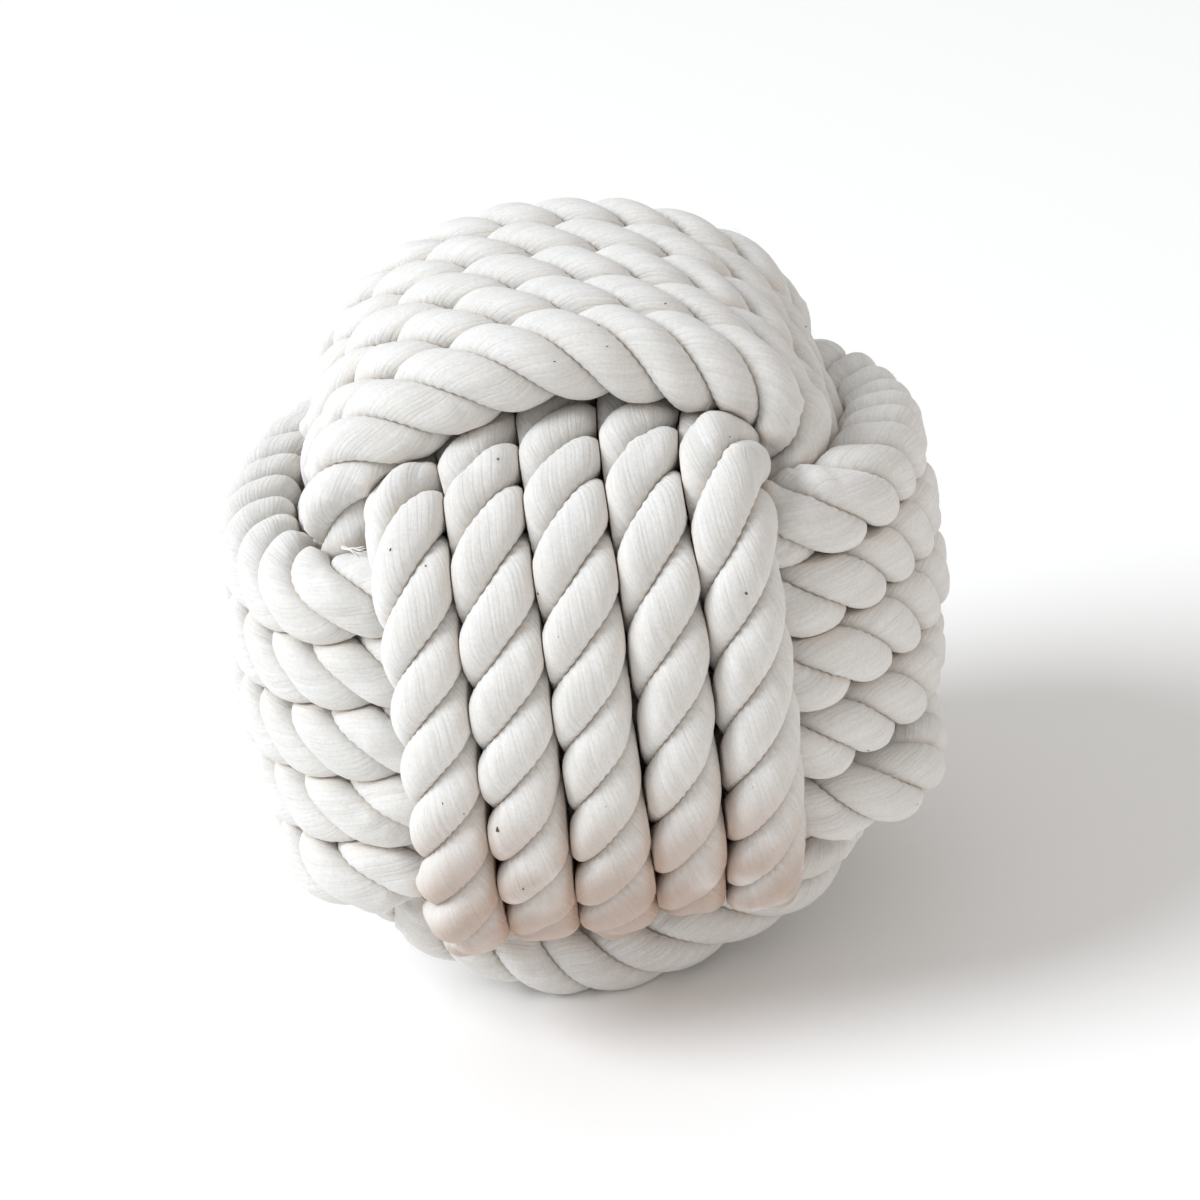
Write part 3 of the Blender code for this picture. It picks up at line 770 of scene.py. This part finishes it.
def cotton():
    """natural cotton: soft twisted yarns of slightly different tone, fine fibres along them"""
    m = bpy.data.materials.new('natural_cotton')
    n = Nodes(m)
    uv = n.add('ShaderNodeUVMap', uv_map='RopeUV').outputs['UV']
    split = n.add('ShaderNodeSeparateXYZ')
    n.link(uv, split.inputs[0])
    along, across = split.outputs['X'], split.outputs['Y']
    place = n.add('ShaderNodeTexCoord').outputs['Object']

    # each yarn wanders a little, so its edges aren't ruled lines
    drift_at = n.add('ShaderNodeCombineXYZ')
    n.link(n.math('MULTIPLY', along, 1.3), drift_at.inputs[0])
    n.link(n.math('MULTIPLY', across, 0.5), drift_at.inputs[1])
    drift = n.add('ShaderNodeTexNoise', in_Scale=1.0, in_Detail=2.0)
    n.link(drift_at.outputs[0], drift.inputs['Vector'])
    wander = n.math('MULTIPLY', n.math('SUBTRACT', drift.outputs['Fac'], 0.5), 2.2)
    place_across = n.math('ADD', across, wander)

    yarn = n.math('FLOOR', place_across)
    tone_at = n.add('ShaderNodeCombineXYZ')
    n.link(n.math('MULTIPLY', along, 0.45), tone_at.inputs[0])
    n.link(n.math('MULTIPLY', yarn, 7.31), tone_at.inputs[1])
    tone = n.add('ShaderNodeTexNoise', in_Scale=1.0, in_Detail=2.0)
    n.link(tone_at.outputs[0], tone.inputs['Vector'])

    # valley between two yarns, closing up here and there
    side = n.math('ABSOLUTE', n.math('SUBTRACT', n.math('FRACT', place_across), 0.5))
    valley = n.ramp(side, 0.15, 0.50)
    open_at = n.add('ShaderNodeCombineXYZ')
    n.link(n.math('MULTIPLY', along, 1.1), open_at.inputs[0])
    n.link(n.math('MULTIPLY', across, 0.9), open_at.inputs[1])
    opened = n.add('ShaderNodeTexNoise', in_Scale=1.0, in_Detail=3.0)
    n.link(open_at.outputs[0], opened.inputs['Vector'])
    valley = n.math('MULTIPLY', valley, n.ramp(opened.outputs['Fac'], 0.34, 0.62))

    fibre_at = n.add('ShaderNodeCombineXYZ')
    n.link(n.math('MULTIPLY', along, 2.6), fibre_at.inputs[0])
    n.link(n.math('MULTIPLY', place_across, 5.0), fibre_at.inputs[1])
    fibre = n.add('ShaderNodeTexNoise', in_Scale=1.0, in_Detail=4.0, in_Roughness=0.65)
    n.link(fibre_at.outputs[0], fibre.inputs['Vector'])

    fuzz = n.add('ShaderNodeTexNoise', in_Scale=1100.0, in_Detail=4.0, in_Roughness=0.75)
    n.link(place, fuzz.inputs['Vector'])
    cloud = n.add('ShaderNodeTexNoise', in_Scale=42.0, in_Detail=3.0)
    n.link(place, cloud.inputs['Vector'])

    colour = n.mix(n.ramp(tone.outputs['Fac'], 0.25, 0.75), (0.690, 0.675, 0.648), (0.768, 0.760, 0.745))
    colour = n.mix(n.math('MULTIPLY', n.ramp(cloud.outputs['Fac'], 0.42, 0.75), 0.30), colour,
                   (0.700, 0.675, 0.630))
    colour = n.mix(n.math('MULTIPLY', n.ramp(fibre.outputs['Fac'], 0.35, 0.7), 0.35), colour, (0.79, 0.78, 0.758))
    # painted shade: the valleys between the yarns drawn darker and browner
    colour = n.mix(n.math('MULTIPLY', valley, 0.12), colour, (0.52, 0.475, 0.41))

    colour = n.mix(n.math('MULTIPLY', n.ramp(fuzz.outputs['Fac'], 0.62, 0.36), 0.30), colour, (0.56, 0.53, 0.49))

    # painted shade: darker and warmer deep in the grooves between the strands
    groove = n.add('ShaderNodeAttribute', attribute_name='groove').outputs['Fac']
    colour = n.mix(n.math('MULTIPLY', n.ramp(groove, 0.35, 1.0), 0.50), colour, (0.74, 0.655, 0.555))
    # painted shade: darker and warmer where the rope lies against a neighbouring run
    beside = n.add('ShaderNodeAttribute', attribute_name='beside').outputs['Fac']
    colour = n.mix(n.math('MULTIPLY', n.ramp(beside, 0.04, 0.85), 0.35), colour, (0.72, 0.625, 0.525))

    # painted shade and brown bounce light from the core: the covered passes deep inside the knot are drawn dark
    # brown
    inner = n.add('ShaderNodeVectorMath', operation='DISTANCE')
    n.link(place, inner.inputs[0])
    inner.inputs[1].default_value = [float(v) for v in shift]
    colour = n.mix(n.math('MULTIPLY', n.ramp(inner.outputs['Value'], 0.0790, 0.0700), 0.65), colour, (0.36, 0.25, 0.165))

    # painted shade and warm bounce light, low down under the strands of the front turns, most on their downward
    # faces
    low_front_shade = n.add('ShaderNodeAttribute', attribute_name='low_front_shade').outputs['Fac']
    low = n.math('MULTIPLY', low_front_shade, n.ramp(cloud.outputs['Fac'], 0.15, 0.50))
    facing = n.add('ShaderNodeSeparateXYZ')
    n.link(n.add('ShaderNodeNewGeometry').outputs['Normal'], facing.inputs[0])
    under = n.ramp(facing.outputs['Z'], 0.25, -0.45)
    under = n.math('ADD', n.math('MULTIPLY', under, 0.60), 0.24)
    colour = n.mix(n.math('MULTIPLY', low, under), colour, (0.44, 0.325, 0.26))
    # painted shade, darker and browner still where these low strands lie against a neighbour
    colour = n.mix(n.math('MULTIPLY', n.math('MULTIPLY', low, n.ramp(beside, 0.02, 0.5)), 0.60), colour,
                   (0.42, 0.255, 0.165))

    # husk flecks too small to be pieces
    fleck = n.add('ShaderNodeTexVoronoi', in_Scale=170.0)
    n.link(place, fleck.inputs['Vector'])
    spot = n.ramp(fleck.outputs['Distance'], 0.050, 0.030)
    pick = n.add('ShaderNodeSeparateColor')
    n.link(fleck.outputs['Color'], pick.inputs[0])
    some = n.math('GREATER_THAN', pick.outputs[0], 0.90)
    colour = n.mix(n.math('MULTIPLY', n.math('MULTIPLY', spot, some), 0.6), colour, (0.36, 0.27, 0.18))
    n.link(colour, n.bsdf.inputs['Base Color'])

    rough = n.add('ShaderNodeMapRange')
    n.link(fibre.outputs['Fac'], rough.inputs['Value'])
    rough.inputs['To Min'].default_value = 0.72
    rough.inputs['To Max'].default_value = 0.98
    n.link(rough.outputs['Result'], n.bsdf.inputs['Roughness'])
    n.bsdf.inputs['Sheen Weight'].default_value = 0.10
    n.bsdf.inputs['Sheen Roughness'].default_value = 0.6
    n.bsdf.inputs['Specular IOR Level'].default_value = 0.30
    n.bsdf.inputs['Subsurface Weight'].default_value = 0.60
    n.bsdf.inputs['Subsurface Radius'].default_value = (1.0, 0.88, 0.74)
    n.bsdf.inputs['Subsurface Scale'].default_value = 0.0030

    bump0 = n.add('ShaderNodeBump', in_Strength=0.5, in_Distance=0.00020)
    bump0.invert = True
    n.link(valley, bump0.inputs['Height'])
    bump1 = n.add('ShaderNodeBump', in_Strength=0.5, in_Distance=0.00020)
    n.link(fibre.outputs['Fac'], bump1.inputs['Height'])
    n.link(bump0.outputs[0], bump1.inputs['Normal'])
    bump2 = n.add('ShaderNodeBump', in_Strength=0.6, in_Distance=0.00022)
    n.link(fuzz.outputs['Fac'], bump2.inputs['Height'])
    n.link(bump1.outputs[0], bump2.inputs['Normal'])
    n.link(bump2.outputs[0], n.bsdf.inputs['Normal'])
    return m


def wood():
    """brown turned wood with rings and pores"""
    m = bpy.data.materials.new('brown_wood')
    n = Nodes(m)
    place = n.add('ShaderNodeTexCoord').outputs['Object']
    turn = n.add('ShaderNodeMapping')
    turn.inputs['Rotation'].default_value = (0.5, 0.35, 0.2)
    n.link(place, turn.inputs['Vector'])
    rings = n.add('ShaderNodeTexWave', wave_type='RINGS', rings_direction='X', in_Scale=38.0, in_Distortion=3.5,
                  in_Detail=3.0)
    rings.inputs['Detail Scale'].default_value = 1.2
    n.link(turn.outputs[0], rings.inputs['Vector'])
    stretch = n.add('ShaderNodeMapping')
    stretch.inputs['Scale'].default_value = (60, 900, 900)
    n.link(turn.outputs[0], stretch.inputs['Vector'])
    pores = n.add('ShaderNodeTexNoise', in_Scale=1.0, in_Detail=3.0)
    n.link(stretch.outputs[0], pores.inputs['Vector'])
    colour = n.mix(rings.outputs['Fac'], (0.42, 0.235, 0.125), (0.58, 0.36, 0.21))
    colour = n.mix(n.math('MULTIPLY', n.ramp(pores.outputs['Fac'], 0.52, 0.66), 0.6), colour, (0.24, 0.125, 0.065))
    n.link(colour, n.bsdf.inputs['Base Color'])
    n.bsdf.inputs['Roughness'].default_value = 0.55
    bump = n.add('ShaderNodeBump', in_Strength=0.4, in_Distance=0.0002)
    n.link(pores.outputs['Fac'], bump.inputs['Height'])
    n.link(bump.outputs[0], n.bsdf.inputs['Normal'])
    return m


def loose_cotton():
    m = bpy.data.materials.new('loose_cotton')
    n = Nodes(m)
    place = n.add('ShaderNodeTexCoord').outputs['Object']
    tone = n.add('ShaderNodeTexNoise', in_Scale=260.0, in_Detail=3.0)
    n.link(place, tone.inputs['Vector'])
    colour = n.mix(n.ramp(tone.outputs['Fac'], 0.3, 0.7), (0.70, 0.67, 0.62), (0.86, 0.85, 0.83))
    n.link(colour, n.bsdf.inputs['Base Color'])
    n.bsdf.inputs['Roughness'].default_value = 0.75
    n.bsdf.inputs['Subsurface Weight'].default_value = 0.3
    n.bsdf.inputs['Subsurface Radius'].default_value = (1.0, 0.9, 0.75)
    n.bsdf.inputs['Subsurface Scale'].default_value = 0.0004
    return m


def husk():
    m = bpy.data.materials.new('seed_husk')
    n = Nodes(m)
    place = n.add('ShaderNodeTexCoord').outputs['Object']
    tone = n.add('ShaderNodeTexNoise', in_Scale=2400.0, in_Detail=4.0)
    n.link(place, tone.inputs['Vector'])
    n.link(n.mix(n.ramp(tone.outputs['Fac'], 0.35, 0.65), (0.045, 0.030, 0.020), (0.17, 0.12, 0.075)),
           n.bsdf.inputs['Base Color'])
    bump = n.add('ShaderNodeBump', in_Strength=0.5, in_Distance=0.00005)
    n.link(tone.outputs['Fac'], bump.inputs['Height'])
    n.link(bump.outputs[0], n.bsdf.inputs['Normal'])
    n.bsdf.inputs['Roughness'].default_value = 0.8
    return m


# ------------------------------------------------------------------ loose fibres, a frayed yarn and husks
class Skin:
    """places on the outside of the rope, with the way out and the way the yarn runs"""

    def __init__(self, pieces, middle):
        at, out, run = [], [], []
        for obj in pieces:
            mesh = obj.data
            co = np.empty(len(mesh.vertices) * 3, np.float32)
            mesh.vertices.foreach_get('co', co)
            co = co.reshape(-1, 3).astype(float)
            quads = np.empty(len(mesh.loops), np.int32)
            mesh.loops.foreach_get('vertex_index', quads)
            fours = len(mesh.loops) - 3 * (2 * STRANDS * YARNS * YARN_COLUMNS)
            quads = quads[:fours].reshape(-1, 4)[::5]
            a, b, d = co[quads[:, 0]], co[quads[:, 1]], co[quads[:, 3]]
            normal = np.cross(b - a, d - a)
            normal /= np.maximum(np.linalg.norm(normal, axis=1, keepdims=True), 1e-12)
            along = d - a
            along /= np.maximum(np.linalg.norm(along, axis=1, keepdims=True), 1e-12)
            away = a - middle
            r = np.linalg.norm(away, axis=1)
            keep = (r > 0.0835) & (((normal * away).sum(1) / r) > 0.1) & (a[:, 2] > 0.004)
            at.append(a[keep])
            out.append(normal[keep])
            run.append(along[keep])
        self.at, self.out, self.run = np.vstack(at), np.vstack(out), np.vstack(run)


def thin_tubes(name, paths, radii, material, sides=3):
    """closed round threads along (threads, points, 3) paths, drawn to nearly nothing at the ends"""
    count, steps = paths.shape[:2]
    t = np.gradient(paths, axis=1)
    t /= np.maximum(np.linalg.norm(t, axis=2, keepdims=True), 1e-12)
    ref = np.where(np.abs(t[:, :1, 2:3]) < 0.8, np.array([0, 0, 1.0]), np.array([1.0, 0, 0]))
    n = np.cross(t, np.broadcast_to(ref, t.shape))
    n /= np.maximum(np.linalg.norm(n, axis=2, keepdims=True), 1e-12)
    b = np.cross(t, n)
    angle = 2 * math.pi * np.arange(sides) / sides
    ring = (n[:, :, None, :] * np.cos(angle)[None, None, :, None]
            + b[:, :, None, :] * np.sin(angle)[None, None, :, None])
    verts = (paths[:, :, None, :] + ring * radii[:, :, None, None]).reshape(-1, 3)
    base = (np.arange(count) * steps * sides)[:, None, None]
    i = np.arange(steps - 1)[None, :, None] * sides
    k = np.arange(sides)[None, None, :]
    k2 = (k + 1) % sides
    quads = np.stack([base + i + k, base + i + sides + k, base + i + sides + k2, base + i + k2], -1)
    faces = [tuple(int(v) for v in q) for q in quads.reshape(-1, 4)]
    for c in range(count):
        start = c * steps * sides
        end = start + (steps - 1) * sides
        faces.append(tuple(start + v for v in range(sides)))
        faces.append(tuple(end + v for v in reversed(range(sides))))
    mesh = bpy.data.meshes.new(name)
    mesh.from_pydata(verts.tolist(), [], faces)
    mesh.shade_smooth()
    mesh.materials.append(material)
    obj = bpy.data.objects.new(name, mesh)
    bpy.context.scene.collection.objects.link(obj)
    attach(obj, 'root')
    return obj


def loose_fibres(skin, material):
    rng = np.random.default_rng(5)
    steps = 8
    w = np.linspace(0, 1, steps)[None, :, None]
    total = FIBRES + LONG_FIBRES
    pick = rng.integers(0, len(skin.at), total)
    at, out, run = (a[pick][:, None, :] for a in (skin.at, skin.out, skin.run))
    long_ = (np.arange(total) >= FIBRES)[:, None, None]
    length = np.where(long_, rng.uniform(0.004, 0.008, (total, 1, 1)), rng.uniform(0.0014, 0.0040, (total, 1, 1)))
    rise = np.where(long_, rng.uniform(0.0007, 0.0019, (total, 1, 1)), rng.uniform(0.00020, 0.00065, (total, 1, 1)))
    aside = np.cross(out, run)
    turn = rng.normal(0, 0.45, (total, 1, 1))
    heading = (run * np.cos(turn) + aside * np.sin(turn)) * np.sign(rng.uniform(-1, 1, (total, 1, 1)))
    across = np.cross(out, heading)
    bend = rng.normal(0, 0.22, (total, 1, 1))
    lift = np.where(rng.uniform(0, 1, (total, 1, 1)) < 0.55, np.sin(math.pi * w * 0.95), w ** 0.7)
    paths = (at - out * 0.00012 + heading * length * w + across * length * bend * w * w
             + across * length * 0.06 * np.sin(w * rng.uniform(4, 11, (total, 1, 1)))
             + out * rise * lift)
    paths[:, :, 2] = np.maximum(paths[:, :, 2], 0.0004)
    radii = rng.uniform(0.000020, 0.000034, (total, 1)) * (1 - 0.6 * np.linspace(0, 1, steps)[None, :] ** 2)
    return thin_tubes('loose_fibres', paths, radii, material)


def frayed_yarn(material):
    """a few yarns pulled out of the lay, in the corner where the three sets meet"""
    rng = np.random.default_rng(9)
    steps, count = 14, 9
    w = np.linspace(0, 1, steps)[None, :, None]
    root = np.array([-0.0560, -0.0500, 0.1392])
    middle = np.array([-0.0530, -0.0548, 0.1404])
    ends = np.array([-0.0498, -0.0586, 0.1403]) + rng.normal(0, 1, (count, 3)) * np.array([0.0010, 0.0007, 0.0013])
    start = root + rng.normal(0, 0.00018, (count, 3))
    half = middle + rng.normal(0, 0.00035, (count, 3))
    paths = (start[:, None, :] * (1 - w) ** 2 + 2 * half[:, None, :] * w * (1 - w) + ends[:, None, :] * w * w)
    paths = paths + 0.00012 * np.sin(w * rng.uniform(6, 12, (count, 1, 1)) + rng.uniform(0, 6, (count, 1, 3)))
    radii = rng.uniform(0.00007, 0.00019, (count, 1)) * (1 - 0.75 * np.linspace(0, 1, steps)[None, :] ** 2)
    return thin_tubes('frayed_yarn', paths, radii, material, sides=7)


def seed_husks(skin, material):
    rng = np.random.default_rng(21)
    spots = [(np.array(place) / 1000, size / 1000) for place, size in HUSKS]
    for i in rng.integers(0, len(skin.at), MORE_HUSKS):
        spots.append((skin.at[i], rng.uniform(0.00045, 0.00085)))
    bm = bmesh.new()
    for place, size in spots:
        i = int(np.argmin(((skin.at - place) ** 2).sum(1)))
        out, run = Vector(skin.out[i]), Vector(skin.run[i])
        turn = Matrix.Rotation(rng.normal(0, 0.5), 3, out)
        run = turn @ run
        frame = Matrix((run, out.cross(run), out)).transposed().to_4x4()
        frame.translation = Vector(skin.at[i]) + out * size * 0.03
        half = Vector((size / 2, size * rng.uniform(0.24, 0.36), size * rng.uniform(0.12, 0.18)))
        made = bmesh.ops.create_icosphere(bm, subdivisions=3, radius=1.0)
        phase = rng.uniform(0, 6.28, 3)
        for v in made['verts']:
            c = v.co
            rough = 1 + 0.13 * math.sin(c.x * 4 + phase[0]) + 0.10 * math.sin(c.y * 7 + phase[1]) \
                + 0.07 * math.sin(c.z * 9 + c.x * 8 + phase[2])
            taper = 1 - 0.35 * c.x
            v.co = frame @ Vector((c.x * half.x * rough, c.y * half.y * rough * taper, c.z * half.z * rough))
    mesh = bpy.data.meshes.new('seed_husks')
    bm.to_mesh(mesh)
    bm.free()
    mesh.shade_smooth()
    mesh.materials.append(material)
    obj = bpy.data.objects.new('seed_husks', mesh)
    bpy.context.scene.collection.objects.link(obj)
    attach(obj, 'root')
    return obj


# ------------------------------------------------------------------ the pieces
points, marks, shift = finished_route()
rope = Rope(points, marks, shift)
table = neighbours(rope)
cotton_material = cotton()

lengths = [('rope_start_tuck', 0.0)]
lengths += [('girdle_turn_%d' % (i + 1), i + 1.0) for i in range(TURNS - 1)]
lengths += [('girdle_turn_%d' % TURNS, 4.97), ('girdle_to_upright_run', 6.03)]
lengths += [('upright_turn_%d' % (i + 1), i + 7.0) for i in range(TURNS - 1)]
lengths += [('upright_turn_%d' % TURNS, 10.97), ('upright_to_crown_run', 12.03)]
lengths += [('crown_turn_%d' % (i + 1), i + 13.0) for i in range(TURNS)]
lengths += [('rope_end_tuck', 18.0)]

first = 0
laid = []
for name, stop in lengths:
    last = len(rope.p) - 1 if stop == 18.0 else int(np.argmin(np.abs(rope.mark - stop)))
    piece = rope_piece('laid_' + name, rope, table, first, last, cotton_material)
    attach(piece, 'root')
    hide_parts(name)
    laid.append(piece)
    first = last


def core_piece():
    """turned ball, with the flats and shallow marks of hand turning"""
    bm = bmesh.new()
    bmesh.ops.create_icosphere(bm, subdivisions=6, radius=1.0)
    for v in bm.verts:
        c = v.co.normalized()
        ripple = 0.0006 * math.sin(c.x * 190 + 2 * math.sin(c.y * 3)) + 0.002 * math.sin(c.z * 3 + c.y * 2)
        v.co = c * (CORE_DIAMETER / 2 - 0.0002) * (1 - 0.002 + ripple)
    mesh = bpy.data.meshes.new('turned_core_ball')
    bm.to_mesh(mesh)
    bm.free()
    mesh.transform(Matrix.Translation(Vector([float(v) for v in shift])))
    mesh.shade_smooth()
    mesh.materials.append(wood())
    obj = bpy.data.objects.new('turned_core_ball', mesh)
    bpy.context.scene.collection.objects.link(obj)
    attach(obj, 'root')
    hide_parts('core_ball')
    return obj


core_piece()

skin = Skin(laid, np.array([float(v) for v in shift]))
loose = loose_cotton()
loose_fibres(skin, loose)
frayed_yarn(loose)
seed_husks(skin, husk())


# ------------------------------------------------------------------ stage, lights and camera
def stage():
    bpy.ops.mesh.primitive_plane_add(size=16.0, location=(0, 0, 0))
    floor = bpy.context.object
    floor.name = 'pale_floor'
    m = bpy.data.materials.new('pale_floor')
    n = Nodes(m)
    n.bsdf.inputs['Base Color'].default_value = (0.95, 0.935, 0.915, 1)
    n.bsdf.inputs['Roughness'].default_value = 0.7
    floor.data.materials.append(m)


def area_light(name, place, aim, size, power, colour):
    data = bpy.data.lights.new(name, 'AREA')
    data.shape = 'DISK'
    data.size = size
    data.energy = power
    data.color = colour
    obj = bpy.data.objects.new(name, data)
    obj.location = place
    obj.rotation_euler = (Vector(aim) - Vector(place)).to_track_quat('-Z', 'Y').to_euler()
    obj.visible_camera = False
    bpy.context.scene.collection.objects.link(obj)


def lights():
    world = bpy.data.worlds.new('studio')
    world.use_nodes = True
    world.node_tree.nodes['Background'].inputs['Color'].default_value = (0.995, 0.99, 0.988, 1)
    world.node_tree.nodes['Background'].inputs['Strength'].default_value = 0.62
    bpy.context.scene.world = world
    aim = (0, 0, 0.09)
    area_light('key', (-3.6, -0.85, 3.45), aim, 2.6, 224, (0.885, 0.940, 1.0))
    area_light('warm_low', (0.9, -0.7, 0.10), aim, 0.6, 1.0, (1.0, 0.72, 0.55))
    bpy.context.scene.view_settings.view_transform = 'Standard'


def camera():
    """the photograph's viewing angle"""
    az, el, roll = math.radians(1.0), math.radians(26.0), math.radians(7.5)
    distance = 39.0 / 0.97 * ROPE_PITCH
    back = Vector((math.sin(az) * math.cos(el), -math.cos(az) * math.cos(el), math.sin(el)))
    right = Vector((math.cos(az), math.sin(az), 0.0))
    up = back.cross(right).normalized() * 1.0
    cam_right = right * math.cos(roll) - up * math.sin(roll)
    cam_up = right * math.sin(roll) + up * math.cos(roll)
    data = bpy.data.cameras.new('camera')
    data.sensor_fit = 'HORIZONTAL'
    data.sensor_width = 36.0
    data.lens = 3056.0 / 1200.0 * 36.0
    data.shift_x = (600 - 583) / 1200.0
    data.shift_y = (599 - 600) / 1200.0
    data.clip_start = 0.01
    data.clip_end = 50.0
    obj = bpy.data.objects.new('camera', data)
    m = Matrix((cam_right, cam_up, back)).transposed().to_4x4()
    m.translation = Vector([float(v) for v in shift]) + back * distance
    obj.matrix_world = m
    bpy.context.scene.collection.objects.link(obj)
    bpy.context.scene.camera = obj
    return obj


stage()
lights()
camera()
